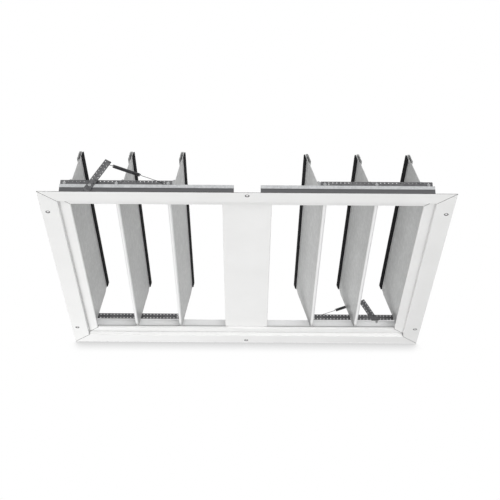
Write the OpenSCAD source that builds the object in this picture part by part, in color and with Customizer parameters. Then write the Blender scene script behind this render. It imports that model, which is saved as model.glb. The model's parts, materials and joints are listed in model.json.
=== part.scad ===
// Ceiling shutter in two banks, with a mitred frame that fits over an uncut joist.
// +Z points up into the roof space. The room side of the flange lies on z = 0.
// The origin is the middle of the frame. X runs across the blades, Y along them.

/* [Frame] */
// Width of the frame over the flanges, across the blades
frame_w = 864; // [800:1:1000]
// Depth of the frame over the flanges, along the blades
frame_d = 698; // [500:1:900]
// Thickness of the frame and panel sheet
sheet = 0.8; // [0.6:0.1:1.2]
// Width of the flange that lies against the ceiling
flange_w = 38; // [30:1:50]
// Height of the lip above the room side of the flange
lip_rise = 9; // [7:0.5:12]
// Width of the lip, from the riser to the opening
lip_w = 23.5; // [20:0.5:30]
// Height of the upturned edge of the lip
return_h = 5; // [4:0.5:6]
// Inside radius of the bends in the frame
bend_r = 0.8; // [0.4:0.1:1.2]
// Gap between the members at a mitre
mitre_gap = 0.4; // [0.1:0.1:0.6]

/* [Corner gussets] */
// Length of each leg of a gusset
gusset_leg = 52; // [40:1:60]
// Thickness of a gusset
gusset_t = 0.8; // [0.6:0.1:1.5]
// Gap from a gusset to the bend of the lip and to the foot of the rail
gusset_gap = 0.3; // [0.2:0.1:0.6]

/* [Mounting holes] */
// Radius of the screw holes
screw_r = 2.75; // [2:0.25:3.5]
// Distance of the side screw holes from the outer edge
side_screw_in = 13; // [10:1:18]
// Distance along Y between the two screw holes of a side
side_screw_pitch = 540; // [300:10:560]
// Distance of the front and rear screw holes from the outer edge
end_screw_in = 12; // [10:1:18]

/* [Blades] */
// Distance between the pivots of a bank
blade_pitch = 109; // [100:1:112]
// Distance from the riser to the first pivot
pivot_edge = 12; // [10:0.5:16]
// Height of the pivots
pivot_z = 21; // [20:0.5:26]
// Thickness of the blade sheet
blade_t = 0.8; // [0.6:0.1:1]
// Outside radius of the rolled pivot edge
bead_r = 3.6; // [3.5:0.1:4.2]
// Gap from the rail to the end of a blade
blade_end_gap = 12.2; // [11.6:0.1:14]
// Height of the folded leg of the hem
hem_h = 20; // [14:1:26]
// How much shorter the hem is than the sheet, at each end
hem_short = 5; // [3:0.5:8]
// Angle of the open blades of the left bank from upright
tilt_left = 12; // [4:0.5:24]
// Angle of the open blades of the right bank from upright
tilt_right = 18; // [4:0.5:24]

/* [Seals] */
// Width of the felt strip
seal_w = 13; // [10:0.5:16]
// Thickness of the felt strip
seal_t = 2.5; // [1.5:0.1:3.5]
// How far the felt stands past the free edge
seal_over = 0.5; // [0:0.1:1]
// Gap between a closed seal and what it covers
seal_gap = 0.3; // [0.2:0.1:0.6]

/* [Centre panel] */
// How far the seal of the last blade reaches over the edge of the panel
panel_land = 3; // [1:0.5:5]

/* [Rails] */
// Thickness of the rails
rail_t = 1; // [0.8:0.1:1.5]
// Height of the top edge of the rails
rail_top = 44; // [42:0.5:48]
// Gap between the web of a rail and the riser
rail_gap = 0.8; // [0.4:0.1:1.2]
// Width of the foot of a rail
rail_foot = 12.2; // [10:0.1:14]
// Height of the hem along the top of a rail
rail_hem = 9; // [6:0.5:12]
// Distance of the inner ends of the rails from the middle
rail_in = 28; // [22:1:34]

/* [Pivots] */
// Radius of the pivot rods
rod_r = 2.4; // [2:0.1:2.5]
// Radial running clearance of rods and pins
run_gap = 0.05; // [0.02:0.01:0.1]
// Wall of the bush around the rod
bush_wall = 1.1; // [0.8:0.1:1.5]
// Radius of the flange of the bush
bush_flange_r = 5.2; // [4.8:0.1:6]
// Thickness of the flange of the bush
bush_flange_t = 1.2; // [0.8:0.1:1.6]

/* [Tie bars] */
// Height of the perforated strap
strap_w = 15; // [14:0.5:16]
// Thickness of the tie bars
bar_t = 1.2; // [1:0.1:1.6]
// Gap from the tie bar to the rail
bar_gap = 3.9; // [3.6:0.1:4.4]
// How far a tie bar reaches past its end pins
bar_end = 8.5; // [7:0.5:10]
// Distance of the link pins from the pivots, along the blade
link_up = 28; // [27:0.5:32]
// Distance of the link pins from the pivots, square to the blade
link_out = 8; // [8:0.5:10]
// Radius of the journal of a link pin
pin_r = 2; // [1.6:0.1:2.2]
// Radius of the perforations
hole_r = 1.4; // [1.1:0.1:1.6]
// Distance of each row of perforations from the middle of the strap
hole_row = 4.6; // [4.2:0.1:5]
// Perforations to one blade pitch
holes_per_pitch = 13; // [8:1:14]

/* [Clips] */
// Thickness of the clips
clip_t = 1; // [0.8:0.1:1.4]
// Distance from the pivot to the lower edge of a clip
clip_low = 16; // [15:0.5:18]
// Distance from the pivot to the upper edge of a clip
clip_high = 44; // [40:0.5:50]
// Length of the clip along the blade
clip_len = 19; // [15:1:26]
// Radius of the nose of the clip around the link pin
clip_nose = 6.2; // [5:0.1:6.5]
// Radius of the rivets
rivet_r = 1.6; // [1.2:0.1:2]

/* [Spring arms] */
// Thickness of a spring arm
arm_t = 1.6; // [1.2:0.1:2]
// Length of a spring arm
arm_len = 104; // [98:1:108]
// Angle of a spring arm from upright
arm_lean = 29.5; // [24:0.5:34]
// Distance along the rail from the last pivot to the foot of a spring arm
arm_foot_out = 181; // [176:1:186]
// Height of the foot of a spring arm above the lip
arm_foot_up = 2; // [1:0.5:4]

/* [Springs] */
// Radius of the spring wire
wire_r = 0.6; // [0.4:0.05:0.7]
// Outside radius of the coil
coil_r = 3.75; // [3:0.05:4.25]
// Length of the coil with the blades open
coil_len = 61; // [50:1:66]
// Turns in the coil
coil_turns = 22; // [12:1:30]
// Distance from the arm hole to the coil
coil_start = 9; // [8:0.5:12]
// Radius of the eye at the tie bar
eye_r = 2.2; // [1.8:0.1:2.6]

/* [Hidden] */
SIDES = ["left", "right"];
$fn = 48;

BLADES = [1, 2, 3];
WHITE = [0.93, 0.93, 0.92];
ALUMINIUM = [0.74, 0.74, 0.75];
STEEL = [0.62, 0.63, 0.64];
DARK_STEEL = [0.38, 0.38, 0.39];
BLACK = [0.08, 0.08, 0.08];
NYLON = [0.85, 0.85, 0.82];

// Clearance of parts that are fixed in holes, and of rivets
fit_gap = 0.05;
// How far a cutter reaches past the face it cuts
cut = 1;

// Frame
edge_w = flange_w + lip_w;
lip_top = lip_rise + sheet;
return_top = lip_rise + return_h;
riser_x = frame_w / 2 - flange_w;
riser_y = frame_d / 2 - flange_w;
return_out_y = frame_d / 2 - edge_w + sheet;

// Rails, as distances from the middle along Y
web_out = riser_y - rail_gap;
web_in = web_out - rail_t;
rail_r = 1;
rail_hem_r = 0.1;
hem_step = rail_t + 2 * rail_hem_r;
hem_face = web_out + hem_step;
foot_in = web_out - rail_foot;
rail_end_gap = 1;
rail_end = riser_x - rail_end_gap;

// Gussets lie on the lip between its upturned edge and the feet of the rails
gusset_out = foot_in - gusset_gap;
gusset_w = gusset_out - return_out_y - bend_r - gusset_gap;

// Blades. The sheet lies on the side of the pivot that faces the middle.
blade_half = web_in - blade_end_gap;
hem_half = blade_half - hem_short;
blade_h = blade_pitch + seal_w;
sheet_mid = bead_r - blade_t / 2;
hem_r = 2.2;
closed_up = asin((2 * bead_r + seal_t + seal_gap) / blade_pitch);
inner_pivot = riser_x - pivot_edge - 2 * blade_pitch;
roll_gap = 50;

// Centre panel
panel_half = inner_pivot - blade_pitch - panel_land;
land_reach = blade_pitch + panel_land;
land_along = (land_reach - (bead_r + seal_t) * sin(closed_up)) / cos(closed_up);
panel_top = pivot_z + land_along * sin(closed_up) - (bead_r + seal_t) * cos(closed_up) - seal_gap;
panel_end_gap = 2;
panel_body = return_out_y - panel_end_gap;
hook_gap = 0.3;
hook_y = return_out_y + hook_gap + sheet / 2;
tab_gap = 0.7;
tab_end = foot_in - tab_gap;
tab_inset = 8;
tab_half = panel_half - tab_inset;
tab_lap = 10;

// Tie bars, clips and pins
bar_out = web_in - bar_gap;
bar_in = bar_out - bar_t;
bar_len = 2 * (blade_pitch + bar_end);
hole_pitch = blade_pitch / holes_per_pitch;
clip_gap = 1;
clip_in = blade_half + clip_gap;
clip_out = clip_in + clip_t;
clip_seat = bead_r - blade_t;
clip_bend = 0.4;
ear_root = 1;
rivet_inset = 6;
rivet_along = 0.6 * clip_len;
pin_play = 0.3;
pin_head_r = 3.4;
pin_head_t = 1;
shoulder_r = 3;
rivet_head_r = 3;
rivet_head_t = 0.8;
rivet_dome = 0.6;
rivet_tail_r = 2.4;
rod_over = 1.4;
snap_step = 0.4;
snap_t = 0.8;

// Spring arms. The tip is where the middle line of the strap ends.
arm_foot_x = inner_pivot + arm_foot_out;
arm_foot_z = lip_top + arm_foot_up;
arm_tip = [-arm_foot_x + arm_len * sin(arm_lean), arm_foot_z + arm_len * cos(arm_lean)];
arm_out = hem_face + arm_t;
arm_rivet_r = 1.8;
arm_first_hole = 5;
arm_head_r = 3.4;
arm_head_t = 1.2;
upper_rivet_z = rail_top - rail_hem / 2;
lower_rivet_up = 9;
lower_rivet_z = lip_top + lower_rivet_up;

// Springs
spring_gap = 0.3;
spring_y = bar_out + wire_r + spring_gap;
coil_mid = coil_r - wire_r;
hook_bend = 2;
hook_stand = 2;
hook_out = arm_out + hook_stand + wire_r;
hook_tail = 4;
coil_lead = 3;
coil_rise = 1.2;
coil_steps = 10;
coil_sides = 5;
link_sides = 8;
eye_steps = 14;

// Angle of the open blades of one bank
function tilt_of(side) = side == "left" ? tilt_left : tilt_right;
// Distance of pivot number i from the middle; number 1 is the outermost
function pivot_x(i) = inner_pivot + (3 - i) * blade_pitch;
// Offset of the link pin from its pivot, as x and z, in a bank tilted by t
function link_at(t) = [link_up * sin(t) - link_out * cos(t), link_up * cos(t) + link_out * sin(t)];
// Distance from the tip to a point of the arm at height z
function arm_down(z) = (arm_tip[1] - z) / cos(arm_lean);
// Hole of the arm that takes the spring
arm_hole = [
    arm_tip[0] + hole_row * cos(arm_lean) - arm_first_hole * sin(arm_lean),
    arm_tip[1] - hole_row * sin(arm_lean) - arm_first_hole * cos(arm_lean)];
// Hole of the tie bar that takes the spring, in a bank tilted by t
function bar_hole(t) = [-inner_pivot + link_at(t)[0] - hole_pitch, pivot_z + link_at(t)[1]];
// Vector from the arm hole to the bar hole
function spring_run(t) = bar_hole(t) - arm_hole;
function spring_drop(t) = atan2(-spring_run(t)[1], spring_run(t)[0]);

function unit(v) = v / norm(v);
function left_of(v) = [-v[1], v[0]];
function turn(a, b) = atan2(a[0] * b[1] - a[1] * b[0], a * b);
// Point where a line from p touches the circle around c, on the side of sign s
function touch(p, c, r, s) =
    let (a = atan2(p[1] - c[1], p[0] - c[0]), b = acos(r / norm(p - c)))
    c + r * [cos(a + s * b), sin(a + s * b)];
// A vector made square to t again
function square_to(v, t) = unit(v - (v * t) * t);
// Points of an arc around c from angle a to angle b
function arc(c, r, a, b, steps) = [for (k = [0 : steps]) let (w = a + (b - a) * k / steps)
    c + r * [cos(w), sin(w)]];

// Section of a folded sheet along its middle line, with the inside radius of each bend
module folded_strip(path, t, radii) {
    last = len(path) - 1;
    function heading(i) = unit(path[i + 1] - path[i]);
    function bend(i) = turn(heading(i - 1), heading(i));
    function mid_r(i) = radii[i - 1] + t / 2;
    function setback(i) = (i == 0 || i == last) ? 0 : mid_r(i) * tan(abs(bend(i)) / 2);
    for (i = [0 : last - 1]) {
        run = norm(path[i + 1] - path[i]) - setback(i) - setback(i + 1);
        if (run > 0.001)
            translate(path[i] + heading(i) * setback(i))
                rotate(atan2(heading(i)[1], heading(i)[0]))
                    translate([0, -t / 2])
                        square([run, t]);
    }
    for (i = [1 : last - 1]) {
        s = sign(bend(i));
        start = -s * left_of(heading(i - 1));
        stop = -s * left_of(heading(i));
        reach = 2 * (mid_r(i) + t);
        translate(path[i] - heading(i - 1) * setback(i) - start * mid_r(i))
            intersection() {
                difference() {
                    circle(mid_r(i) + t / 2);
                    circle(mid_r(i) - t / 2);
                }
                polygon([[0, 0], start * reach, (start + stop) * reach, stop * reach]);
            }
    }
}

// Round wire along a list of points, with the first side towards the vector v
module wire(points, r, sides, v) {
    n = len(points);
    tangents = [for (i = [0 : n - 1]) unit(points[min(i + 1, n - 1)] - points[max(i - 1, 0)])];
    normals = [for (i = 0, w = square_to(v, tangents[0]); i < n;
        i = i + 1, w = i < n ? square_to(w, tangents[i]) : w) w];
    rings = [for (i = [0 : n - 1]) for (k = [0 : sides - 1])
        let (a = 360 * k / sides)
        points[i] + r * (cos(a) * normals[i] + sin(a) * cross(tangents[i], normals[i]))];
    skin = [for (i = [0 : n - 2]) for (k = [0 : sides - 1])
        let (a = i * sides + k, b = i * sides + (k + 1) % sides)
        each [[a, a + sides, b + sides], [a, b + sides, b]]];
    first = [[for (k = [0 : sides - 1]) k]];
    final = [[for (k = [sides - 1 : -1 : 0]) (n - 1) * sides + k]];
    polyhedron(rings, concat(skin, first, final), convexity = 10);
}

// Rod along Y between two distances from the middle, in front if both are negative
module rod_y(y1, y2, r) {
    translate([0, y1, 0])
        rotate([-90, 0, 0])
            cylinder(h = y2 - y1, r = r);
}

// Turns the left bank into the right bank
module bank(side) {
    rotate([0, 0, side == "left" ? 0 : 180])
        children();
}

// The same piece at the front and at the rear end
module both_ends() {
    children();
    mirror([0, 1, 0])
        children();
}

// Frame of one blade: x towards the middle of the frame, z up along the open blade
module on_blade(side, i) {
    bank(side)
        translate([-pivot_x(i), 0, pivot_z])
            rotate([0, tilt_of(side), 0])
                children();
}

// Extrudes a section in x and z along Y
module along_y(length) {
    rotate([90, 0, 0])
        linear_extrude(length, center = true)
            children();
}

module z_section() {
    folded_strip([
        [0, sheet / 2],
        [flange_w - sheet / 2, sheet / 2],
        [flange_w - sheet / 2, lip_rise + sheet / 2],
        [edge_w - sheet / 2, lip_rise + sheet / 2],
        [edge_w - sheet / 2, return_top]], sheet, [bend_r, bend_r, bend_r]);
}

// One mitred member, with its outer edge on x = -half and its holes at the given y
module frame_member(half, length, hole_in, holes) {
    reach = edge_w + cut;
    long = length / 2 - mitre_gap / 2;
    color(WHITE)
        difference() {
            intersection() {
                translate([-half, 0, 0])
                    along_y(length)
                        z_section();
                translate([0, 0, -cut])
                    linear_extrude(return_top + 2 * cut)
                        polygon([[-half - cut, -long - cut], [-half + reach, -long + reach],
                            [-half + reach, long - reach], [-half - cut, long + cut]]);
            }
            for (y = holes)
                translate([-half + hole_in, y, -cut])
                    cylinder(h = sheet + 2 * cut, r = screw_r);
        }
}

module end_member() {
    rotate([0, 0, 90])
        frame_member(frame_d / 2, frame_w, end_screw_in, [0]);
}

module side_member() {
    frame_member(frame_w / 2, frame_d, side_screw_in, [-side_screw_pitch / 2, side_screw_pitch / 2]);
}

// Flat angles that join the lips of the members across the mitres
module corner_gussets() {
    inset = frame_d / 2 - gusset_out;
    color(STEEL)
        for (mx = [0, 1], my = [0, 1])
            mirror([mx, 0, 0])
                mirror([0, my, 0])
                    translate([inset - frame_w / 2, inset - frame_d / 2, lip_top])
                        linear_extrude(gusset_t)
                            difference() {
                                square(gusset_leg);
                                translate([gusset_w, gusset_w])
                                    square(gusset_leg);
                            }
}

// Folded cover between the banks, with a stepped tab at each end that hooks over the lip
module centre_panel() {
    floor_z = return_top + sheet / 2;
    wall_x = panel_half - sheet / 2;
    color(WHITE) {
        along_y(2 * panel_body)
            folded_strip([[-wall_x, panel_top], [-wall_x, floor_z], [wall_x, floor_z],
                [wall_x, panel_top]], sheet, [bend_r, bend_r]);
        both_ends()
            rotate([90, 0, 90])
                linear_extrude(2 * tab_half, center = true)
                    folded_strip([[-panel_body + tab_lap, floor_z], [-hook_y, floor_z],
                        [-hook_y, lip_top + sheet / 2], [-tab_end, lip_top + sheet / 2]],
                        sheet, [bend_r, bend_r]);
    }
}

// Rail at the front of the left bank; with_arm adds the holes for the spring arm
module rail(with_arm) {
    web_mid = web_in + rail_t / 2;
    color(STEEL)
        difference() {
            translate([-(rail_end + rail_in) / 2, 0, 0])
                rotate([90, 0, 90])
                    linear_extrude(rail_end - rail_in, center = true)
                        folded_strip([
                            [-foot_in, lip_top + rail_t / 2],
                            [-web_mid, lip_top + rail_t / 2],
                            [-web_mid, rail_top - rail_t / 2],
                            [-web_mid - hem_step, rail_top - rail_t / 2],
                            [-web_mid - hem_step, rail_top - rail_hem]],
                            rail_t, [rail_r, rail_hem_r, rail_hem_r]);
            for (i = BLADES)
                translate([-pivot_x(i), 0, pivot_z])
                    rod_y(-hem_face - cut, -web_in + cut, rod_r + run_gap + bush_wall + fit_gap);
            if (with_arm)
                for (z = [upper_rivet_z, lower_rivet_z])
                    translate([arm_tip[0] - arm_down(z) * sin(arm_lean), 0, z])
                        rod_y(-hem_face - cut, -web_in + cut, arm_rivet_r + fit_gap);
        }
}

// Flanged bushes that snap into the rails
module pivot_bushes() {
    shank_r = rod_r + run_gap + bush_wall;
    color(NYLON)
        for (side = SIDES, i = BLADES)
            bank(side)
                translate([-pivot_x(i), 0, pivot_z])
                    both_ends()
                        difference() {
                            union() {
                                rod_y(-web_in, -web_in + bush_flange_t, bush_flange_r);
                                rod_y(-web_out, -web_in, shank_r);
                                rod_y(-web_out - snap_t, -web_out, shank_r + snap_step);
                            }
                            rod_y(-web_out - snap_t - cut, -web_in + bush_flange_t + cut,
                                rod_r + run_gap);
                        }
}

// Rolled pivot edge, flat sheet and folded hem
module blade_section() {
    top = blade_h - blade_t / 2;
    difference() {
        circle(bead_r);
        circle(bead_r - blade_t);
        polygon([[0, 0], [2 * bead_r, 0], [2 * bead_r, 2 * bead_r * tan(roll_gap)]]);
    }
    folded_strip([[sheet_mid, 0], [sheet_mid, top], [-sheet_mid, top],
        [-sheet_mid, blade_h - hem_h]], blade_t, [hem_r, hem_r]);
}

module blade(side, i) {
    corner = blade_h - hem_h;
    color(ALUMINIUM)
        on_blade(side, i)
            difference() {
                intersection() {
                    along_y(2 * blade_half)
                        blade_section();
                    rotate([90, 0, 90])
                        linear_extrude(4 * bead_r, center = true)
                            polygon([
                                [-blade_half - cut, -bead_r - cut], [blade_half + cut, -bead_r - cut],
                                [blade_half + cut, corner - hem_short - cut], [hem_half, corner],
                                [hem_half, blade_h + cut], [-hem_half, blade_h + cut],
                                [-hem_half, corner], [-blade_half - cut, corner - hem_short - cut]]);
                }
                both_ends()
                    clip_rivet_places()
                        cylinder(h = 2 * bead_r, r = rivet_r + fit_gap, center = true);
            }
}

module seal(side, i) {
    color(BLACK)
        on_blade(side, i)
            translate([bead_r, -hem_half, blade_h - seal_w])
                cube([seal_t, 2 * hem_half, seal_w + seal_over]);
}

module rod(side, i) {
    color(STEEL)
        on_blade(side, i)
            rod_y(-web_out - rod_over, web_out + rod_over, rod_r);
}

// Places of the two rivets of the front clip, with z square to the blade from its sheet
module clip_rivet_places() {
    for (z = [clip_low + rivet_inset, clip_high - rivet_inset])
        translate([sheet_mid, -clip_in + rivet_along, z])
            rotate([0, 90, 0])
                children();
}

// Angled clips riveted to the ends of a blade, with an ear for the link pin
module clips(side, i) {
    pin_at = [-link_out, link_up];
    low = [clip_seat - clip_t - ear_root, clip_low];
    high = [clip_seat - clip_t - ear_root, clip_high];
    color(STEEL)
        on_blade(side, i)
            both_ends()
                difference() {
                    union() {
                        translate([0, 0, clip_low])
                            linear_extrude(clip_high - clip_low)
                                folded_strip([
                                    [clip_seat - clip_t / 2, -clip_out + clip_len],
                                    [clip_seat - clip_t / 2, -clip_out + clip_t / 2],
                                    [0, -clip_out + clip_t / 2]], clip_t, [clip_bend]);
                        translate([0, -clip_out + clip_t / 2, 0])
                            along_y(clip_t) {
                                polygon([low, touch(low, pin_at, clip_nose, -1), pin_at,
                                    touch(high, pin_at, clip_nose, 1), high]);
                                translate(pin_at)
                                    circle(clip_nose);
                            }
                    }
                    translate([-link_out, 0, link_up])
                        rod_y(-clip_out - cut, -clip_in + cut, pin_r + fit_gap);
                    clip_rivet_places()
                        cylinder(h = 4 * bead_r, r = rivet_r + fit_gap, center = true);
                }
}

module clip_rivets(side, i) {
    outside = blade_t / 2;
    inside = -blade_t / 2 - clip_t;
    color(ALUMINIUM)
        on_blade(side, i)
            both_ends()
                clip_rivet_places() {
                    translate([0, 0, inside - rivet_head_t])
                        cylinder(h = rivet_head_t, r = rivet_tail_r);
                    translate([0, 0, inside])
                        cylinder(h = outside - inside, r = rivet_r);
                    translate([0, 0, outside])
                        cylinder(h = rivet_head_t, r1 = rivet_head_r, r2 = rivet_head_r - rivet_dome);
                }
}

// Shouldered pins that the tie bars turn on
module link_pins(side, i) {
    color(STEEL)
        on_blade(side, i)
            translate([-link_out, 0, link_up])
                both_ends() {
                    rod_y(-clip_in, -clip_in + rivet_head_t, shoulder_r);
                    rod_y(-clip_out, -clip_in, pin_r);
                    rod_y(-bar_in + pin_play, -clip_out, shoulder_r);
                    rod_y(-bar_out - pin_play, -bar_in + pin_play, pin_r);
                    rod_y(-bar_out - pin_play - pin_head_t, -bar_out - pin_play, pin_head_r);
                }
}

// Two rows of perforations at the given places along the strap
module perforations(places) {
    for (along = places, row = [-hole_row, hole_row])
        translate([along, row])
            circle(hole_r, $fn = 6);
}

// Perforated bar on the link pins of a bank, at its front or rear end
module tie_bar(side, end) {
    at = link_at(tilt_of(side));
    color(DARK_STEEL)
        bank(side)
            mirror([0, (side == "left") == (end == "rear") ? 1 : 0, 0])
                translate([at[0] - pivot_x(2), -(bar_in + bar_out) / 2, pivot_z + at[1]])
                    along_y(bar_t)
                        difference() {
                            square([bar_len, strap_w], center = true);
                            perforations([for (k = [-holes_per_pitch : holes_per_pitch])
                                k * hole_pitch]);
                            for (k = [-1, 0, 1])
                                translate([k * blade_pitch, 0])
                                    circle(pin_r + run_gap);
                            translate([blade_pitch - hole_pitch, 0])
                                circle(hole_r);
                        }
}

module spring_arm() {
    rows = floor((arm_len - 2 * arm_first_hole) / hole_pitch);
    color(DARK_STEEL)
        translate([arm_tip[0], -(hem_face + arm_out) / 2, arm_tip[1]])
            rotate([0, arm_lean, 0])
                along_y(arm_t)
                    difference() {
                        translate([-strap_w / 2, -arm_len])
                            square([strap_w, arm_len]);
                        rotate(-90)
                            perforations([for (k = [0 : rows]) arm_first_hole + k * hole_pitch]);
                        for (z = [upper_rivet_z, lower_rivet_z])
                            translate([0, -arm_down(z)])
                                circle(arm_rivet_r + fit_gap);
                    }
}

// The upper rivets clamp the hem; the lower ones have a collar that fills the step under it
module arm_rivets() {
    color(STEEL)
        for (side = SIDES)
            bank(side)
                for (z = [upper_rivet_z, lower_rivet_z])
                    translate([arm_tip[0] - arm_down(z) * sin(arm_lean), 0, z]) {
                        rod_y(-web_in, -web_in + rivet_head_t, rivet_head_r);
                        rod_y(-arm_out, -web_in, arm_rivet_r);
                        rod_y(-arm_out - arm_head_t, -arm_out, arm_head_r);
                        if (z == lower_rivet_z)
                            rod_y(-hem_face, -web_out, rivet_head_r);
                    }
}

// Frame of one spring: x from the arm hole to the bar hole
module on_spring(side) {
    bank(side)
        translate([arm_hole[0], 0, arm_hole[1]])
            rotate([0, spring_drop(tilt_of(side)), 0])
                children();
}

// Coil and the hook that passes through the arm, as one wire
module spring(side) {
    hook = concat(
        [[hook_tail, -hook_out]],
        arc([hook_bend, -hook_out + hook_bend], hook_bend, 270, 180, 4),
        arc([hook_bend, -spring_y - hook_bend], hook_bend, 180, 90, 4));
    last = coil_turns * coil_steps;
    coil = [for (k = [0 : last]) let (a = 90 + 360 * k / coil_steps)
        [coil_start + coil_len * k / last, coil_mid * cos(a) - spring_y, coil_mid * sin(a)]];
    lead = [[coil_start - coil_lead, -spring_y, 0],
        [coil_start - coil_rise, -spring_y, coil_mid / 2]];
    color(STEEL)
        on_spring(side)
            wire(concat([for (p = hook) [p[0], p[1], 0]], lead, coil), wire_r, coil_sides,
                [0, 0, 1]);
}

// Wire from the far end of the coil to the tie bar, with a closed eye
module spring_link(side) {
    start = coil_start + coil_len + 2 * wire_r + spring_gap;
    far = norm(spring_run(tilt_of(side)));
    eye = arc([far, 0], eye_r, 190, 510, eye_steps);
    color(STEEL)
        on_spring(side)
            translate([0, -spring_y, 0])
                wire(concat([[start, 0, coil_mid], [start, 0, coil_rise],
                    [start + coil_rise, 0, 0], [far - 2 * eye_r, 0, 0]],
                    [for (p = eye) [p[0], 0, p[1]]]), wire_r, link_sides, [0, 1, 0]);
}

end_member();  // frame_front
mirror([0, 1, 0]) end_member();  // frame_rear
side_member();  // frame_left
mirror([1, 0, 0]) side_member();  // frame_right
corner_gussets();
centre_panel();
rail(true);  // rail_front_left
mirror([0, 1, 0]) rail(false);  // rail_rear_left
mirror([1, 0, 0]) rail(false);  // rail_front_right
bank("right") rail(true);  // rail_rear_right
pivot_bushes();
for (side = SIDES, i = BLADES) {
    blade(side, i);
    seal(side, i);
    rod(side, i);
    clips(side, i);
    clip_rivets(side, i);
    link_pins(side, i);
}
for (side = SIDES) {
    tie_bar(side, "front");
    tie_bar(side, "rear");
    bank(side) spring_arm();
    spring(side);
    spring_link(side);
}
arm_rivets();
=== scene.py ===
"""Looks of a ceiling shutter: two banks of linked blades in a white mitred frame.

Lengths are in metres and powers in watts. Boxes of nodes and places of joints come from
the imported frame.
"""

import math

import bpy
from mathutils import Matrix, Vector, geometry, noise
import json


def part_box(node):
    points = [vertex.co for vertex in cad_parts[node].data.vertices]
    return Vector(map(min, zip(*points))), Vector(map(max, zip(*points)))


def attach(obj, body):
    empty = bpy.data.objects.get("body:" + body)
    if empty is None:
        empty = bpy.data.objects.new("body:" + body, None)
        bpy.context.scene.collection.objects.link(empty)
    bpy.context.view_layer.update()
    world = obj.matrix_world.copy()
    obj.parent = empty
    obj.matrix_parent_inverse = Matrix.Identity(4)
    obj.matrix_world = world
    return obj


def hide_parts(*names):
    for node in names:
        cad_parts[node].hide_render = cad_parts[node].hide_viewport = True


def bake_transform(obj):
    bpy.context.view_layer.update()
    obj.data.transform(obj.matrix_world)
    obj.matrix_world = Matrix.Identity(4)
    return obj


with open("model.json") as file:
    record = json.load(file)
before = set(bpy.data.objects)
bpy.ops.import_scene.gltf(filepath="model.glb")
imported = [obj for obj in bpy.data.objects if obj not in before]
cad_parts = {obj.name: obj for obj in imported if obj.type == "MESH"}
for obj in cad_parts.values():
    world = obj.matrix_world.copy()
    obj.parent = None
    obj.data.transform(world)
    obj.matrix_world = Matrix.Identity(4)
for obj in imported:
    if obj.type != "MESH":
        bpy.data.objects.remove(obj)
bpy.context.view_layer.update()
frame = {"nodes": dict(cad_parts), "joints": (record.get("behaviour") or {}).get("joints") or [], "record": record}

MM = 0.001
SIDES = ("left", "right")
ENDS = ("front", "rear")
BLADES = (1, 2, 3)
NODES = frame["nodes"]
JOINTS = {joint["name"]: joint for joint in frame["joints"]}

# Camera, fitted to the frame's corners, holes and blade ends in the 500 x 500 photograph
FOCAL_PX = 1229.66
IMAGE_PX = 500
SENSOR_MM = 36.0
CAMERA_AT = Vector((-1.557, -2465.68, -1367.93)) * MM
CAMERA_PITCH = 0.52729
CAMERA_YAW = 0.00316
CAMERA_ROLL = 0.00638
CLIP_NEAR = 0.05
CLIP_FAR = 50.0

# Lamps: name, place, width and power
LAMPS = (
    ("front", (0.0, -3.2, -1.2), 2.6, 75.0),
    ("front_right", (1.6, -2.6, -1.4), 2.0, 32.0),
    ("near_low", (0.0, -1.6, -1.6), 1.6, 3.5),
    ("far_left", (-1.1, 1.2, -1.1), 1.0, 21.5),
    ("top", (0.3, 2.4, 2.6), 3.0, 90.0),
)
LAMP_TARGET = Vector((0.0, 0.0, 0.05))
WORLD_LEVEL = 0.24

# Stage: a floor far below, and a clear board just behind the far edge
FLOOR_Z = -3.4
FLOOR_HALF = 30.0
FLOOR_GLOW = 0.5
BOARD_HALF = 0.60
BOARD_LOW = -0.16
BOARD_GAP = 0.6 * MM
BOARD_DARKEST = 0.48
BOARD_SHADE_REACH = 34.0 * MM

# Frame, rails and holes, as half widths and heights
HALF_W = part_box("frame_right")[1].x
HALF_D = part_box("frame_rear")[1].y
RETURN_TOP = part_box("frame_rear")[1].z
HEM_TO_WEB = 1.7 * MM
RAIL_WEB_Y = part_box("rail_rear_left")[1].y - HEM_TO_WEB
HEM_LOW = 35.0 * MM
SIDE_SCREW = (419.0 * MM, 270.0 * MM)
END_SCREW = (0.0, 337.0 * MM)
SCREW_R = 2.75 * MM

# Marks on the paint: half the width of a mitre's line along X, the rim round a hole (partly painted shade),
# the bands at the cut edges (the top one painted shade), and the reach and fading of painted shade in corners
MITRE_LINE = 0.9 * MM
HOLE_MARK = 2.1 * MM
EDGE_MARK = 0.04 * MM
TOP_MARK = 0.05 * MM
PAINTED_SHADE_REACH = 7.0 * MM
PAINTED_SHADE_FADE = 4.0 * MM

# Marks on the metal: the painted highlight beside a felt, and the heights above the upturned edge
# between which the painted shade at the foot of a rail ends
HIGHLIGHT_RIM = 2.0 * MM
FOOT_SHADE = (11.5 * MM, 14.0 * MM)

# Steels: dark and light colour, then roughness where smooth and where rough
STEELS = {
    "dark_steel": ((0.12, 0.12, 0.125), (0.20, 0.20, 0.205), 0.42, 0.6),
    "bright_steel": ((0.34, 0.345, 0.35), (0.48, 0.485, 0.49), 0.28, 0.42),
    "spring_steel": ((0.07, 0.07, 0.075), (0.12, 0.12, 0.125), 0.32, 0.46),
}

# Pivots and the rolled edges of the blades around them
PIVOT_X = abs(JOINTS["blade_left_3_turn"]["pos_m"][0])
PIVOT_Z = JOINTS["blade_left_3_turn"]["pos_m"][2]
PIVOT_PITCH = abs(JOINTS["blade_left_2_turn"]["pos_m"][0]) - PIVOT_X
BEAD_R = 3.6 * MM

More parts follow.
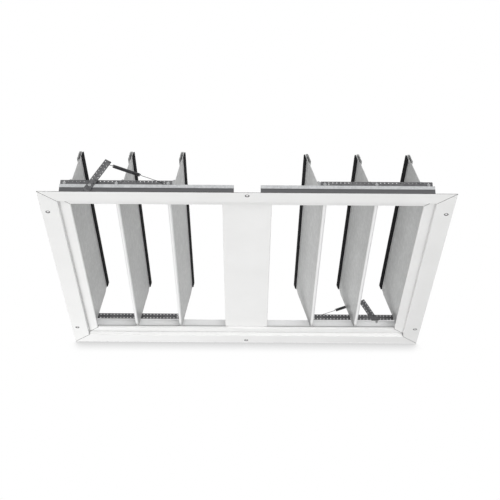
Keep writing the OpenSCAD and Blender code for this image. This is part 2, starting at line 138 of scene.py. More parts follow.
# Springs: the run goes from the hole in the arm, through the coil, to the eye on the bar
WIRE_R = 0.6 * MM
WIRE_SIDES = 10
COIL_R = 3.15 * MM
COIL_START = 9.0 * MM
COIL_LEN = 61.0 * MM
COIL_TURNS = 42
COIL_STEPS = 14
HOOK_BEND = 2.0 * MM
HOOK_TAIL = 4.0 * MM
HOOK_ROOM = 2.0 * MM
HOOK_STEPS = 8
LEAD_START = 3.5 * MM
LEAD_STOP = 1.6 * MM
LEAD_RISE = 0.3

# Wire links: a crank behind the coil, a straight run, and an eye at the tie bar
LINK_GAP = 0.3 * MM
LINK_CRANK = ((0.0, 1.2 * MM), (0.4 * MM, 0.4 * MM), (1.2 * MM, 0.0))
EYE_R = 2.2 * MM
EYE_ARC = (190, 510)
EYE_STEPS = 26
NECK_START = 2.6
NECK_STOP = 2.0
NECK_DIP = 0.1 * MM

# Felt strips, in the frame of a blade: across towards the middle, and up along it
TILT = {"left": math.radians(12), "right": math.radians(18)}
FELT_ACROSS = (3.6 * MM, 6.1 * MM)
FELT_UP = (109.0 * MM, 122.5 * MM)
FELT_CENTRE = (sum(FELT_ACROSS) / 2, sum(FELT_UP) / 2)
FELT_STEP = 3.0 * MM
FELT_PART = 1.6 * MM
FELT_EDGE = 0.7 * MM
FELT_EDGE_STEPS = 3
FELT_ROUGH = 0.16 * MM
FELT_GRAIN = 420
FELT_WAVE = 0.25 * MM
FELT_WAVES = 30.0
FELT_END = 0.93
FELT_SEAT = 0.02 * MM
FELT_BROAD = 6.0 * MM
FELT_SEED = {"left": 3.1, "right": 11.7}
FELT_SEED_STEP = 7.3

# Perforated straps
STRAP_W = 15.0 * MM
STRAP_CORNER = 1.2 * MM
CORNER_STEPS = 5
CHAMFER = 0.15 * MM
HOLES_PER_PITCH = 13
HOLE_PITCH = PIVOT_PITCH / HOLES_PER_PITCH
HOLE_R = 1.2 * MM
HOLE_ROW = 4.6 * MM
HOLE_STEPS = 20
BAR_END = 8.5 * MM
PIN_R = 2.05 * MM
ARM_LEN = 104.0 * MM
ARM_LEAN = math.radians(29.5)
ARM_FIRST = 5.0 * MM
ARM_RIVETS = (39.5 * MM, 18.8 * MM)
ARM_RIVET_R = 1.85 * MM


def hand(side):
    """1 in the left bank and -1 in the right one, as the direction towards the middle."""
    return 1.0 if side == "left" else -1.0


def new_material(name, color, roughness, metallic=0.0):
    """A material with a Principled shader, its tree, and texture coordinates in metres."""
    made = bpy.data.materials.new(name)
    made.use_nodes = True
    tree = made.node_tree
    shader = tree.nodes["Principled BSDF"]
    shader.inputs["Base Color"].default_value = (*color, 1.0)
    shader.inputs["Roughness"].default_value = roughness
    shader.inputs["Metallic"].default_value = metallic
    place = tree.nodes.new("ShaderNodeTexCoord")
    return made, tree, shader, place.outputs["Object"]


def noise_of(tree, place, scale, detail=4.0, rough=0.55, stretch=(1.0, 1.0, 1.0)):
    """Noise with scale cells to the metre, times a factor along each axis."""
    mapping = tree.nodes.new("ShaderNodeMapping")
    mapping.inputs["Scale"].default_value = stretch
    texture = tree.nodes.new("ShaderNodeTexNoise")
    texture.inputs["Scale"].default_value = scale
    texture.inputs["Detail"].default_value = detail
    texture.inputs["Roughness"].default_value = rough
    tree.links.new(place, mapping.inputs["Vector"])
    tree.links.new(mapping.outputs["Vector"], texture.inputs["Vector"])
    return texture.outputs["Fac"]


def maths(tree, operation, first, second=None):
    """Math node on one or two sockets or numbers."""
    made = tree.nodes.new("ShaderNodeMath")
    made.operation = operation
    for socket, value in zip(made.inputs, (first, second)):
        if value is None:
            continue
        if isinstance(value, (int, float)):
            socket.default_value = value
        else:
            tree.links.new(value, socket)
    return made.outputs[0]


def most(tree, first, *others):
    """The largest of some sockets."""
    for other in others:
        first = maths(tree, "MAXIMUM", first, other)
    return first


def length_of(tree, a, b):
    """Length of a vector with the parts a and b."""
    squares = [maths(tree, "POWER", value, 2.0) for value in (a, b)]
    return maths(tree, "SQRT", maths(tree, "ADD", *squares))


def to_range(tree, value, low, high, start=0.3, stop=0.7):
    """Value brought from start..stop to low..high, clamped."""
    made = tree.nodes.new("ShaderNodeMapRange")
    made.inputs["From Min"].default_value = start
    made.inputs["From Max"].default_value = stop
    made.inputs["To Min"].default_value = low
    made.inputs["To Max"].default_value = high
    tree.links.new(value, made.inputs["Value"])
    return made.outputs["Result"]


def between(tree, factor, low, high):
    """Number that goes from low to high as a factor goes from 0 to 1."""
    return to_range(tree, factor, low, high, 0.0, 1.0)


def below(tree, value, limit, soft):
    """1 where value is under limit, and 0 beyond it, over a soft step."""
    return to_range(tree, value, 1.0, 0.0, limit - soft, limit + soft)


def above(tree, value, limit, soft):
    """0 where value is under limit, and 1 beyond it, over a soft step."""
    return to_range(tree, value, 0.0, 1.0, limit - soft, limit + soft)


def clouds(tree, place, scale, detail=4.0):
    """Soft patches between 0 and 1."""
    return to_range(tree, noise_of(tree, place, scale, detail=detail), 0.0, 1.0)


def mixed(tree, factor, first, second):
    """Colour between first and second, which are sockets or colours, by a socket factor."""
    made = tree.nodes.new("ShaderNodeMix")
    made.data_type = "RGBA"
    tree.links.new(factor, made.inputs["Factor"])
    for name, value in (("A", first), ("B", second)):
        socket = [s for s in made.inputs if s.name == name and s.type == "RGBA"][0]
        if isinstance(value, tuple):
            socket.default_value = (*value, 1.0)
        else:
            tree.links.new(value, socket)
    return [s for s in made.outputs if s.type == "RGBA"][0]


def bump(tree, shader, height, distance, strength, after=None):
    """Bump of the given depth on the shader, over an earlier bump if there is one."""
    made = tree.nodes.new("ShaderNodeBump")
    made.inputs["Strength"].default_value = strength
    made.inputs["Distance"].default_value = distance
    tree.links.new(height, made.inputs["Height"])
    if after is not None:
        tree.links.new(after, made.inputs["Normal"])
    tree.links.new(made.outputs["Normal"], shader.inputs["Normal"])
    return made.outputs["Normal"]


def axes_of(tree, place):
    """Distances from the middle along X and Y, and the height."""
    split = tree.nodes.new("ShaderNodeSeparateXYZ")
    tree.links.new(place, split.inputs["Vector"])
    x, y, z = split.outputs
    return maths(tree, "ABSOLUTE", x), maths(tree, "ABSOLUTE", y), z


def near_hole(tree, x, y, at, r):
    """1 around a screw hole, out to r."""
    far = length_of(tree, maths(tree, "SUBTRACT", x, at[0]), maths(tree, "SUBTRACT", y, at[1]))
    return below(tree, far, r, 0.25 * MM)


def openness(tree, distance, samples):
    """How open the surroundings of a point are: 0 in tight corners, 1 on open faces."""
    shade = tree.nodes.new("ShaderNodeAmbientOcclusion")
    shade.samples = samples
    shade.inputs["Distance"].default_value = distance
    return shade.outputs["AO"]


def frame_marks(tree, place, color):
    """Dark lines at mitres, cut edges and holes, and painted shade in corners, most of it on the side members."""
    x, y, z = axes_of(tree, place)
    across = maths(tree, "SUBTRACT", maths(tree, "SUBTRACT", x, y), HALF_W - HALF_D)
    soft = 0.03 * MM
    marks = most(tree,
        below(tree, maths(tree, "ABSOLUTE", across), MITRE_LINE, 0.12 * MM),
        # Painted shade: the top edge of the upturned return is darkened for the shadow gap behind it.
        above(tree, z, RETURN_TOP - TOP_MARK, soft),
        above(tree, x, HALF_W - EDGE_MARK, soft),
        above(tree, y, HALF_D - EDGE_MARK, soft),
        # The dark rims round the holes are partly bare metal and partly painted shade in the holes.
        near_hole(tree, x, y, SIDE_SCREW, SCREW_R + HOLE_MARK),
        near_hole(tree, x, y, END_SCREW, SCREW_R + HOLE_MARK))
    color = mixed(tree, marks, color, (0.035, 0.035, 0.035))
    # Painted shade: darker where the surroundings are close, most of it on the side members.
    painted_shade = to_range(tree, openness(tree, PAINTED_SHADE_REACH, 8), 1.0, 0.0, 0.25, 0.85)
    painted_shade = maths(tree, "MULTIPLY", painted_shade, 0.75)
    painted_shade = maths(tree, "MULTIPLY", painted_shade, to_range(tree, across, 0.15, 1.0, -PAINTED_SHADE_FADE, 0.0))
    return mixed(tree, painted_shade, color, (0.20, 0.20, 0.20))


def white_paint(name, dull, clear, marked=False):
    """Baked enamel between two close whites, with a faint orange peel."""
    made, tree, shader, place = new_material(name, (0.82, 0.82, 0.815), 0.42)
    shader.inputs["Coat Weight"].default_value = 0.12
    shader.inputs["Coat Roughness"].default_value = 0.3
    color = mixed(tree, clouds(tree, place, 9.0, detail=3.0), dull, clear)
    if marked:
        color = frame_marks(tree, place, color)
    tree.links.new(color, shader.inputs["Base Color"])
    rough = to_range(tree, noise_of(tree, place, 60.0), 0.36, 0.48)
    tree.links.new(rough, shader.inputs["Roughness"])
    peel = bump(tree, shader, noise_of(tree, place, 900.0, detail=2.0), 0.03 * MM, 0.35)
    bump(tree, shader, noise_of(tree, place, 14.0, detail=1.0), 0.4 * MM, 0.12, after=peel)
    return made


def from_pivot(tree, place):
    """Distance from the pivot of the nearest blade at rest."""
    x, _, z = axes_of(tree, place)
    across = maths(tree, "PINGPONG", maths(tree, "SUBTRACT", x, PIVOT_X), PIVOT_PITCH / 2)
    return length_of(tree, across, maths(tree, "SUBTRACT", z, PIVOT_Z))


def blade_aluminium():
    """Mill finish sheet with faint rolling marks, lighter at its rolled edge, with a painted highlight beside its
    felt.
    """
    made, tree, shader, place = new_material("blade_aluminium", (0.56, 0.56, 0.56), 0.42, 0.18)
    shader.inputs["Specular IOR Level"].default_value = 0.15
    color = mixed(tree, clouds(tree, place, 7.0), (0.53, 0.535, 0.53), (0.615, 0.62, 0.615))
    rolled = noise_of(tree, place, 1.0, detail=6.0, rough=0.65, stretch=(900.0, 6.0, 900.0))
    color = mixed(tree, to_range(tree, rolled, 0.0, 0.35), color, (0.465, 0.47, 0.47))
    mottle = noise_of(tree, place, 150.0, detail=5.0, rough=0.7, stretch=(1.0, 0.4, 1.0))
    dark = to_range(tree, mottle, 0.0, 0.26, 0.42, 0.6)
    light = to_range(tree, mottle, 0.2, 0.0, 0.38, 0.5)
    color = mixed(tree, dark, color, (0.395, 0.397, 0.395))
    color = mixed(tree, light, color, (0.72, 0.725, 0.72))
    far = from_pivot(tree, place)
    # Painted highlight: a light strip just under the felt; the rolled edge round the pivot is made lighter too.
    rim = maths(tree, "MULTIPLY", above(tree, far, FELT_UP[0] - HIGHLIGHT_RIM, 0.3 * MM),
        below(tree, far, FELT_UP[0] + 0.2 * MM, 0.2 * MM))
    painted_highlight_and_bead = most(tree, rim, below(tree, far, BEAD_R + 0.15 * MM, 0.2 * MM))
    color = mixed(tree, painted_highlight_and_bead, color, (0.90, 0.90, 0.90))
    tree.links.new(color, shader.inputs["Base Color"])
    tree.links.new(between(tree, painted_highlight_and_bead, 0.18, 0.1), shader.inputs["Metallic"])
    tree.links.new(to_range(tree, rolled, 0.34, 0.5), shader.inputs["Roughness"])
    grain = bump(tree, shader, rolled, 0.02 * MM, 0.5)
    bump(tree, shader, noise_of(tree, place, 11.0, detail=1.0), 0.6 * MM, 0.15, after=grain)
    return made


def zinc(name, dark, light, smooth, rough, metallic=0.85):
    """Zinc coated steel: small crystals of slightly different grey, dull in places."""
    made, tree, shader, place = new_material(name, light, 0.4, metallic)
    cells = tree.nodes.new("ShaderNodeTexVoronoi")
    cells.inputs["Scale"].default_value = 260.0
    tree.links.new(place, cells.inputs["Vector"])
    split = tree.nodes.new("ShaderNodeSeparateColor")
    tree.links.new(cells.outputs["Color"], split.inputs["Color"])
    crystals = maths(tree, "MULTIPLY", split.outputs["Red"], 0.35)
    patches = maths(tree, "MULTIPLY", noise_of(tree, place, 22.0), 0.65)
    dull = maths(tree, "ADD", crystals, patches)
    color = mixed(tree, to_range(tree, dull, 0.0, 1.0), dark, light)
    roughness = to_range(tree, noise_of(tree, place, 90.0), smooth, rough)
    tree.links.new(roughness, shader.inputs["Roughness"])
    bump(tree, shader, noise_of(tree, place, 500.0), 0.03 * MM, 0.4)
    tree.links.new(color, shader.inputs["Base Color"])
    return made, tree, shader, place, color


def rail_zinc():
    """Rails: painted shade on the outer web under the hem, painted light on the inner face, and painted shade at
    its foot.
    """
    made, tree, shader, place, color = zinc("rail_steel", (0.50, 0.51, 0.52), (0.62, 0.63, 0.64),
        0.36, 0.5, metallic=0.5)
    _, y, z = axes_of(tree, place)
    outside = above(tree, y, RAIL_WEB_Y, 0.1 * MM)
    inside = below(tree, y, RAIL_WEB_Y, 0.1 * MM)
    # Painted shade: the outer web under the hem is made dark.
    painted_web_shade = maths(tree, "MULTIPLY", outside, below(tree, z, HEM_LOW + 0.2 * MM, 0.5 * MM))
    color = mixed(tree, painted_web_shade, color, (0.13, 0.13, 0.135))
    # Painted light: the inner face is made brighter.
    color = mixed(tree, maths(tree, "MULTIPLY", inside, 0.8), color, (0.95, 0.95, 0.95))
    # Painted shade: the foot of the inner face is made darker above the upturned edge.
    painted_foot_shade = to_range(tree, z, 1.0, 0.0, *(RETURN_TOP + height for height in FOOT_SHADE))
    color = mixed(tree, maths(tree, "MULTIPLY", inside, painted_foot_shade), color, (0.34, 0.34, 0.34))
    tree.links.new(between(tree, inside, 0.5, 0.2), shader.inputs["Metallic"])
    tree.links.new(color, shader.inputs["Base Color"])
    return made


def felt_material():
    """Black felt, matt and fibrous."""
    made, tree, shader, place = new_material("felt", (0.010, 0.010, 0.011), 0.95)
    shader.inputs["Sheen Weight"].default_value = 0.02
    shader.inputs["Sheen Roughness"].default_value = 0.7
    shader.inputs["Specular IOR Level"].default_value = 0.04
    fibres = noise_of(tree, place, 1400.0, detail=6.0, rough=0.75, stretch=(1.0, 0.45, 1.0))
    shade = to_range(tree, fibres, 0.0, 1.0)
    color = mixed(tree, shade, (0.004, 0.004, 0.005), (0.022, 0.022, 0.024))
    tree.links.new(color, shader.inputs["Base Color"])
    nap = bump(tree, shader, fibres, 0.3 * MM, 0.8)
    bump(tree, shader, noise_of(tree, place, 260.0, detail=3.0), 0.6 * MM, 0.5, after=nap)
    return made


def nylon_material():
    """Milky moulded nylon of the bushes."""
    made, tree, shader, place = new_material("nylon", (0.72, 0.72, 0.69), 0.45)
    shader.inputs["Subsurface Weight"].default_value = 0.1
    shader.inputs["Subsurface Scale"].default_value = 1.0 * MM
    color = mixed(tree, clouds(tree, place, 300.0), (0.66, 0.66, 0.63), (0.76, 0.76, 0.73))
    tree.links.new(color, shader.inputs["Base Color"])
    bump(tree, shader, noise_of(tree, place, 1200.0), 0.04 * MM, 0.4)
    return made


def make_materials():
    """One material to each slot of the record, and a marked paint for the frame members."""
    made = {
        "white_paint": white_paint("white_paint", (0.81, 0.81, 0.803), (0.845, 0.845, 0.84)),
        "frame_paint": white_paint("frame_paint", (0.785, 0.785, 0.778), (0.82, 0.82, 0.815),
            marked=True),
        "blade_aluminium": blade_aluminium(),
        "felt": felt_material(),
        "rail_steel": rail_zinc(),
    }
    for name, values in STEELS.items():
        made[name] = zinc(name, *values)[0]
    made["nylon"] = nylon_material()
    return made


def paint_nodes(materials):
    """Gives each CAD node the material of its slot in the record."""
    for part in frame["record"]["subparts"]:
        node = NODES[part["node"]]
        slot = "frame_paint" if part["node"].startswith("frame_") else part["material_slot"]
        node.data.materials.clear()
        node.data.materials.append(materials[slot])


def mesh_piece(name, points, faces, material, slot):
    """Smooth mesh object with its material; the slot is not used."""
    data = bpy.data.meshes.new(name)
    data.from_pydata([tuple(p) for p in points], [], faces)
    data.polygons.foreach_set("use_smooth", [True] * len(data.polygons))
    data.materials.append(material)
    piece = bpy.data.objects.new(name, data)
    bpy.context.scene.collection.objects.link(piece)
    return piece


def wire_mesh(points, r, sides):
    """Points and faces of a round wire along a list of points, closed at its ends."""
    count = len(points)
    tangents = [(points[min(i + 1, count - 1)] - points[max(i - 1, 0)]).normalized()
        for i in range(count)]
    normal = tangents[0].orthogonal().normalized()
    rings = []
    for point, tangent in zip(points, tangents):
        normal = (normal - normal.dot(tangent) * tangent).normalized()
        other = tangent.cross(normal)
        for k in range(sides):
            a = math.tau * k / sides
            rings.append(point + r * (math.cos(a) * normal + math.sin(a) * other))
    faces = []
    for i in range(count - 1):
        for k in range(sides):
            a, b = i * sides + k, i * sides + (k + 1) % sides
            faces.append((a, b, b + sides, a + sides))
    faces.append(tuple(range(sides - 1, -1, -1)))
    faces.append(tuple((count - 1) * sides + k for k in range(sides)))
    return rings, faces


def arc(middle, r, start, stop, steps):
    """Points (a, b) of an arc, with angles in degrees."""
    turns = [math.radians(start + (stop - start) * k / steps) for k in range(steps + 1)]
    return [(middle[0] + r * math.cos(t), middle[1] + r * math.sin(t)) for t in turns]


def spring_axes(side):
    """Arm hole, direction of the run, direction out of the frame and the one square to both.

    The left spring is at the front end and the right one at the rear end.
    """
    swing, stretch = JOINTS[f"spring_{side}_swing"], JOINTS[f"spring_{side}_stretch"]
    run = Vector(stretch["axis"]).normalized()
    out = Vector((0.0, -1.0 if side == "left" else 1.0, 0.0))
    return Vector(swing["pos_m"]), run, out, out.cross(run)


def coil_middle(side):
    """Distance of the middle of the coil and its link from the plane y = 0."""
    low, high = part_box(f"spring_link_{side}")
    return abs(low.y + high.y) / 2


def make_spring(side, material):
    """Coil with its hook through the arm, in place of the spring node."""
    hole, run, out, up = spring_axes(side)
    middle = coil_middle(side)
    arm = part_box(f"spring_arm_{side}")
    hook_out = max(abs(arm[0].y), abs(arm[1].y)) + HOOK_ROOM + WIRE_R
    hook = [(HOOK_TAIL, hook_out)]
    for base, start in ((hook_out - HOOK_BEND, 90), (middle + HOOK_BEND, 180)):
        bend = arc((HOOK_BEND, 0), HOOK_BEND, start, start + 90, HOOK_STEPS)
        hook += [(x, base + y) for x, y in bend]
    local = [(x, y, 0.0) for x, y in hook]
    local += [(COIL_START - LEAD_START, middle, 0.0),
        (COIL_START - LEAD_STOP, middle, LEAD_RISE * COIL_R)]
    last = COIL_TURNS * COIL_STEPS
    for k in range(last + 1):
        turn = math.tau * (0.25 + k / COIL_STEPS)
        local.append((COIL_START + COIL_LEN * k / last, middle - COIL_R * math.cos(turn),
            COIL_R * math.sin(turn)))
    points = [hole + a * run + b * out + c * up for a, b, c in local]
    coil = mesh_piece(f"coil_{side}", *wire_mesh(points, WIRE_R, WIRE_SIDES), material,
        "spring_steel")
    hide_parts(f"spring_{side}")
    start = hole + COIL_START * run + middle * out
    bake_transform(coil)


def make_link(side, material):
    """Wire from the coil to its closed eye on the tie bar."""
    hole, run, out, up = spring_axes(side)
    middle = coil_middle(side)
    pin = Vector(JOINTS[f"tie_bars_{side}_turn"]["pos_m"])
    far = (pin - Vector((hand(side) * HOLE_PITCH, 0.0, 0.0)) - hole).dot(run)
    start = COIL_START + COIL_LEN + 2 * WIRE_R + LINK_GAP
    local = [(start, COIL_R)] + [(start + a, b) for a, b in LINK_CRANK]
    local += [(far - NECK_START * EYE_R, 0.0), (far - NECK_STOP * EYE_R, -NECK_DIP)]
    local += arc((far, 0.0), EYE_R, *EYE_ARC, EYE_STEPS)
    points = [hole + a * run + middle * out + b * up for a, b in local]
    wire = mesh_piece(f"link_wire_{side}", *wire_mesh(points, WIRE_R, WIRE_SIDES), material,
        "spring_steel")
    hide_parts(f"spring_link_{side}")
    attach(wire, f"spring_link_{side}")


def blade_axes(side, i):
    """Pivot of a blade, the direction towards the middle square to it, and the one up along it."""
    pivot = Vector(JOINTS[f"blade_{side}_{i}_turn"]["pos_m"])
    s, c = math.sin(TILT[side]), math.cos(TILT[side])
    return pivot, Vector((hand(side) * c, 0.0, -s)), Vector((hand(side) * s, 0.0, c))


def rounded(low, high, r, steps):
    """Points (a, b) of a rectangle with round corners, turning left."""
    points = []
    corners = ((high[0] - r, high[1] - r, 0), (low[0] + r, high[1] - r, 90),
        (low[0] + r, low[1] + r, 180), (high[0] - r, low[1] + r, 270))
    for a, b, start in corners:
        points += arc((a, b), r, start, start + 90, steps)
    return points


def felt_section():
    """Outline of the felt, as (across, up), with points along its long sides."""
    low, high = zip(FELT_ACROSS, FELT_UP)
    corners = rounded(low, high, FELT_EDGE, FELT_EDGE_STEPS)
    outline = []
    for k, point in enumerate(corners):
        after = corners[(k + 1) % len(corners)]
        parts = max(1, round(math.dist(point, after) / FELT_PART))
        outline += [(point[0] + (after[0] - point[0]) * n / parts,
            point[1] + (after[1] - point[1]) * n / parts) for n in range(parts)]
    return outline


def felt_point(seed, a, b, y, end):
    """A point of the outline at y, roughened and waved, and drawn in at the two ends."""
    da, db = a - FELT_CENTRE[0], b - FELT_CENTRE[1]
    wave = FELT_WAVE * noise.noise(seed + Vector((0.0, FELT_WAVES * y, 0.0)))
    grain = seed + Vector((FELT_GRAIN * a, FELT_GRAIN * y, FELT_GRAIN * b))
    rough = FELT_ROUGH * noise.fractal(grain, 0.8, 2.0, 3)
    lift = wave * max(0.0, db) / (FELT_CENTRE[1] - FELT_UP[0])
    out = FELT_CENTRE[0] + end * da - (abs(rough) if da > 0 else 0.0)
    up = FELT_CENTRE[1] + end * db + math.copysign(rough, db) * (abs(db) > FELT_BROAD) + lift
    return max(FELT_ACROSS[0] + FELT_SEAT, out), up


def make_felt(side, i, material):
    """Felt strip with a rough surface and a slightly wavy free edge."""
    pivot, across, up = blade_axes(side, i)
    low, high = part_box(f"seal_{side}_{i}")
    steps = round((high.y - low.y) / FELT_STEP)
    section = felt_section()
    if side == "left":
        section.reverse()
    seed = Vector((FELT_SEED_STEP * i, FELT_SEED[side], 0.0))
    points, faces = [], []
    for k in range(steps + 1):
        y = low.y + (high.y - low.y) * k / steps
        end = 1.0 if 0 < k < steps else FELT_END
        for a, b in section:
            a, b = felt_point(seed, a, b, y, end)
            points.append(pivot + a * across + b * up + Vector((0.0, y, 0.0)))
    count = len(section)
    for k in range(steps):
        for n in range(count):
            m = (n + 1) % count
            faces.append((k * count + n, k * count + m, (k + 1) * count + m, (k + 1) * count + n))
    faces.append(tuple(range(count - 1, -1, -1)))
    faces.append(tuple(steps * count + n for n in range(count)))
    felt = mesh_piece(f"felt_{side}_{i}", points, faces, material, "felt")
    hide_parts(f"seal_{side}_{i}")
    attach(felt, f"blade_{side}_{i}")


def circle_points(at, r, steps):
    """Points of a circle in the plane of a strap, turning right, as the rim of a hole."""
    turns = [-math.tau * k / steps for k in range(steps)]
    return [(at[0] + r * math.cos(t), at[1] + r * math.sin(t)) for t in turns]


def strap_rims(low, high, holes, ease):
    """Outline and hole rims of a strap, drawn in by the given ease."""
    outer = rounded((low[0] + ease, low[1] + ease), (high[0] - ease, high[1] - ease),
        STRAP_CORNER - ease, CORNER_STEPS)
    return [outer] + [circle_points(at, r + ease, HOLE_STEPS) for at, r in holes]


def cross_of(p, q, r):
    """Twice the signed area of a triangle in the plane of a strap."""
    return (q[0] - p[0]) * (r[1] - p[1]) - (q[1] - p[1]) * (r[0] - p[0])


def strap_mesh(low, high, holes, thickness):
    """Flat strap with round corners and holes, eased along its edges: points (a, b, h), faces."""
    half = thickness / 2
    levels = [(h, strap_rims(low, high, holes, ease)) for h, ease in (
        (-half, CHAMFER), (-half + CHAMFER, 0.0), (half - CHAMFER, 0.0), (half, CHAMFER))]
    points, starts = [], []
    for h, rims in levels:
        starts.append(len(points))
        points += [(a, b, h) for rim in rims for a, b in rim]
    flat = [[Vector((a, b, 0.0)) for a, b in rim] for rim in levels[0][1]]
    faces = []
    for one, two, three in geometry.tessellate_polygon(flat):
        if cross_of(points[one], points[two], points[three]) < 0:
            two, three = three, two
        faces.append((starts[3] + one, starts[3] + two, starts[3] + three))
        faces.append((starts[0] + one, starts[0] + three, starts[0] + two))
    for level in range(3):
        first = 0
        for rim in levels[0][1]:
            for k in range(len(rim)):
                m = (k + 1) % len(rim)
                a, b = starts[level] + first, starts[level + 1] + first
                faces.append((a + k, a + m, b + m, b + k))
            first += len(rim)
    return points, faces


def place_strap(name, node, body, origin, along, across, holes, low, high, material):
    """Strap in the plane of along and across, in place of a CAD node on its body."""
    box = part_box(node)
    points, faces = strap_mesh(low, high, holes, box[1].y - box[0].y)
    out = along.cross(across)
    base = Vector((origin.x, (box[0].y + box[1].y) / 2, origin.z))
    placed = [base + a * along + b * across + h * out for a, b, h in points]
    strap = mesh_piece(name, placed, faces, material, "dark_steel")
    strap.data.polygons.foreach_set("use_smooth", [False] * len(strap.data.polygons))
    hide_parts(node)
    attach(strap, body)


def perforations(places):
    """Two rows of holes at the given places along a strap."""
    return [((along, row), HOLE_R) for along in places for row in (-HOLE_ROW, HOLE_ROW)]


def make_tie_bars(side, material):
    """Perforated bars on the link pins of a bank."""
    pin = Vector(JOINTS[f"tie_bars_{side}_turn"]["pos_m"])
    middle = pin - hand(side) * PIVOT_PITCH * Vector((1, 0, 0))
    half = PIVOT_PITCH + BAR_END
    steps = range(-HOLES_PER_PITCH, HOLES_PER_PITCH + 1)
    holes = perforations([k * HOLE_PITCH for k in steps])
    holes += [((k * PIVOT_PITCH, 0.0), PIN_R) for k in (-1, 0, 1)]
    holes.append(((PIVOT_PITCH - HOLE_PITCH, 0.0), HOLE_R))
    for end in ENDS:
        place_strap(f"strap_{side}_{end}", f"tie_bar_{side}_{end}", f"tie_bars_{side}", middle,
            Vector((hand(side), 0.0, 0.0)), Vector((0.0, 0.0, 1.0)), holes,
            (-half, -STRAP_W / 2), (half, STRAP_W / 2), material)


def make_arm(side, material):
    """Perforated arm that holds the spring, riveted to the rail."""
    s, c = math.sin(ARM_LEAN), math.cos(ARM_LEAN)
    down = Vector((-hand(side) * s, 0.0, -c))
    across = Vector((hand(side) * c, 0.0, -s))
    hole = Vector(JOINTS[f"spring_{side}_swing"]["pos_m"])
    tip = hole - ARM_FIRST * down - HOLE_ROW * across
    rows = math.floor((ARM_LEN - 2 * ARM_FIRST) / HOLE_PITCH)
    holes = perforations([ARM_FIRST + k * HOLE_PITCH for k in range(rows + 1)])
    holes += [(((tip.z - z) / c, 0.0), ARM_RIVET_R) for z in ARM_RIVETS]
    place_strap(f"arm_strap_{side}", f"spring_arm_{side}", "root", tip, down, across, holes,
        (0.0, -STRAP_W / 2), (ARM_LEN, STRAP_W / 2), material)


def set_camera():
    """The photograph's camera: below the shutter, looking up along +Y."""
    sp, cp = math.sin(CAMERA_PITCH), math.cos(CAMERA_PITCH)
    sy, cy = math.sin(CAMERA_YAW), math.cos(CAMERA_YAW)
    sr, cr = math.sin(CAMERA_ROLL), math.cos(CAMERA_ROLL)
    pitch = Matrix(((1, 0, 0), (0, sp, -cp), (0, cp, sp)))
    yaw = Matrix(((cy, 0, -sy), (0, 1, 0), (sy, 0, cy)))
    roll = Matrix(((cr, -sr, 0), (sr, cr, 0), (0, 0, 1)))
    right, down, ahead = roll @ yaw @ pitch
    turn = Matrix((right, -Vector(down), -Vector(ahead))).transposed()
    data = bpy.data.cameras.new("camera")
    data.sensor_width = SENSOR_MM
    data.lens = FOCAL_PX * SENSOR_MM / IMAGE_PX
    data.clip_start = CLIP_NEAR
    data.clip_end = CLIP_FAR
    camera = bpy.data.objects.new("camera", data)
    camera.matrix_world = Matrix.Translation(CAMERA_AT) @ turn.to_4x4()
    bpy.context.scene.collection.objects.link(camera)
    bpy.context.scene.camera = camera


def area_light(name, at, size, power):
    """Soft lamp that looks at the shutter and isn't seen itself."""
    data = bpy.data.lights.new(name, "AREA")
    data.shape = "SQUARE"
    data.size = size
    data.energy = power
    lamp = bpy.data.objects.new(name, data)
    lamp.location = at
    lamp.rotation_mode = "QUATERNION"
    lamp.rotation_quaternion = (LAMP_TARGET - Vector(at)).to_track_quat("-Z", "Y")
    bpy.context.scene.collection.objects.link(lamp)
    lamp.visible_camera = False
    lamp.visible_glossy = False


def seen_ray(tree):
    """1 for what is looked at or mirrored or seen through something, 0 for plain light."""
    path = tree.nodes.new("ShaderNodeLightPath")
    return most(tree, path.outputs["Is Camera Ray"], path.outputs["Is Glossy Ray"],
        path.outputs["Is Transmission Ray"])


def set_world(level):
    """White where it is looked at or mirrored, and a plain level of light elsewhere."""
    world = bpy.data.worlds.new("world")
    bpy.context.scene.world = world
    world.use_nodes = True
    tree = world.node_tree
    background = tree.nodes["Background"]
    background.inputs["Color"].default_value = (1.0, 1.0, 1.0, 1.0)
    strength = between(tree, seen_ray(tree), level, 1.0)
    tree.links.new(strength, background.inputs["Strength"])


def stage_plane(name, corners, material):
    """Flat piece of the stage."""
    data = bpy.data.meshes.new(name)
    data.from_pydata(corners, [], [(0, 1, 2, 3)])
    data.materials.append(material)
    plane = bpy.data.objects.new(name, data)
    bpy.context.scene.collection.objects.link(plane)
    return plane


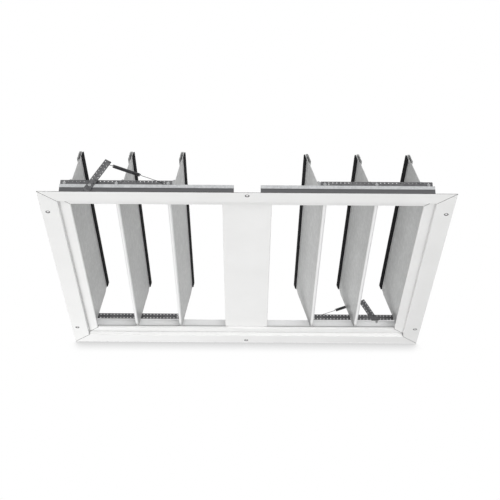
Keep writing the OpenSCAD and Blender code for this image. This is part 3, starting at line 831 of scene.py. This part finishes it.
def make_floor():
    """Plain pale floor, far under the room side."""
    made, tree, shader, place = new_material("floor", (0.86, 0.86, 0.86), 0.8)
    color = mixed(tree, clouds(tree, place, 2.0), (0.85, 0.85, 0.85), (0.88, 0.88, 0.88))
    tree.links.new(color, shader.inputs["Base Color"])
    tree.links.new(color, shader.inputs["Emission Color"])
    glow = between(tree, seen_ray(tree), 0.0, FLOOR_GLOW)
    tree.links.new(glow, shader.inputs["Emission Strength"])
    corners = [(FLOOR_HALF * x, FLOOR_HALF * y, FLOOR_Z)
        for x, y in ((-1, -1), (1, -1), (1, 1), (-1, 1))]
    stage_plane("floor", corners, made)


def make_shadow_board():
    """Clear board just behind the far edge, with a soft shadow close to the edge."""
    made = bpy.data.materials.new("shadow_board")
    made.use_nodes = True
    tree = made.node_tree
    tree.nodes.clear()
    output = tree.nodes.new("ShaderNodeOutputMaterial")
    dark = tree.nodes.new("ShaderNodeEmission")
    dark.inputs["Strength"].default_value = 0.0
    amount = to_range(tree, openness(tree, BOARD_SHADE_REACH, 16), BOARD_DARKEST, 0.0, 0.35, 0.95)
    side = tree.nodes.new("ShaderNodeNewGeometry")
    front = maths(tree, "SUBTRACT", 1.0, side.outputs["Backfacing"])
    clear = tree.nodes.new("ShaderNodeBsdfTransparent")
    mix = tree.nodes.new("ShaderNodeMixShader")
    tree.links.new(maths(tree, "MULTIPLY", amount, front), mix.inputs["Fac"])
    tree.links.new(clear.outputs[0], mix.inputs[1])
    tree.links.new(dark.outputs[0], mix.inputs[2])
    tree.links.new(mix.outputs[0], output.inputs["Surface"])
    y = HALF_D + BOARD_GAP
    corners = [(-BOARD_HALF, y, BOARD_LOW), (BOARD_HALF, y, BOARD_LOW), (BOARD_HALF, y, 0.0),
        (-BOARD_HALF, y, 0.0)]
    board = stage_plane("shadow_board", corners, made)
    for ray in ("diffuse", "glossy", "transmission", "shadow", "volume_scatter"):
        setattr(board, f"visible_{ray}", False)


MATERIALS = make_materials()
paint_nodes(MATERIALS)
for bank in SIDES:
    make_spring(bank, MATERIALS["spring_steel"])
    make_link(bank, MATERIALS["spring_steel"])
    make_tie_bars(bank, MATERIALS["dark_steel"])
    make_arm(bank, MATERIALS["dark_steel"])
    for number in BLADES:
        make_felt(bank, number, MATERIALS["felt"])
set_camera()
set_world(WORLD_LEVEL)
make_floor()
make_shadow_board()
for lamp in LAMPS:
    area_light(*lamp)

bpy.context.scene.view_settings.view_transform = "Standard"
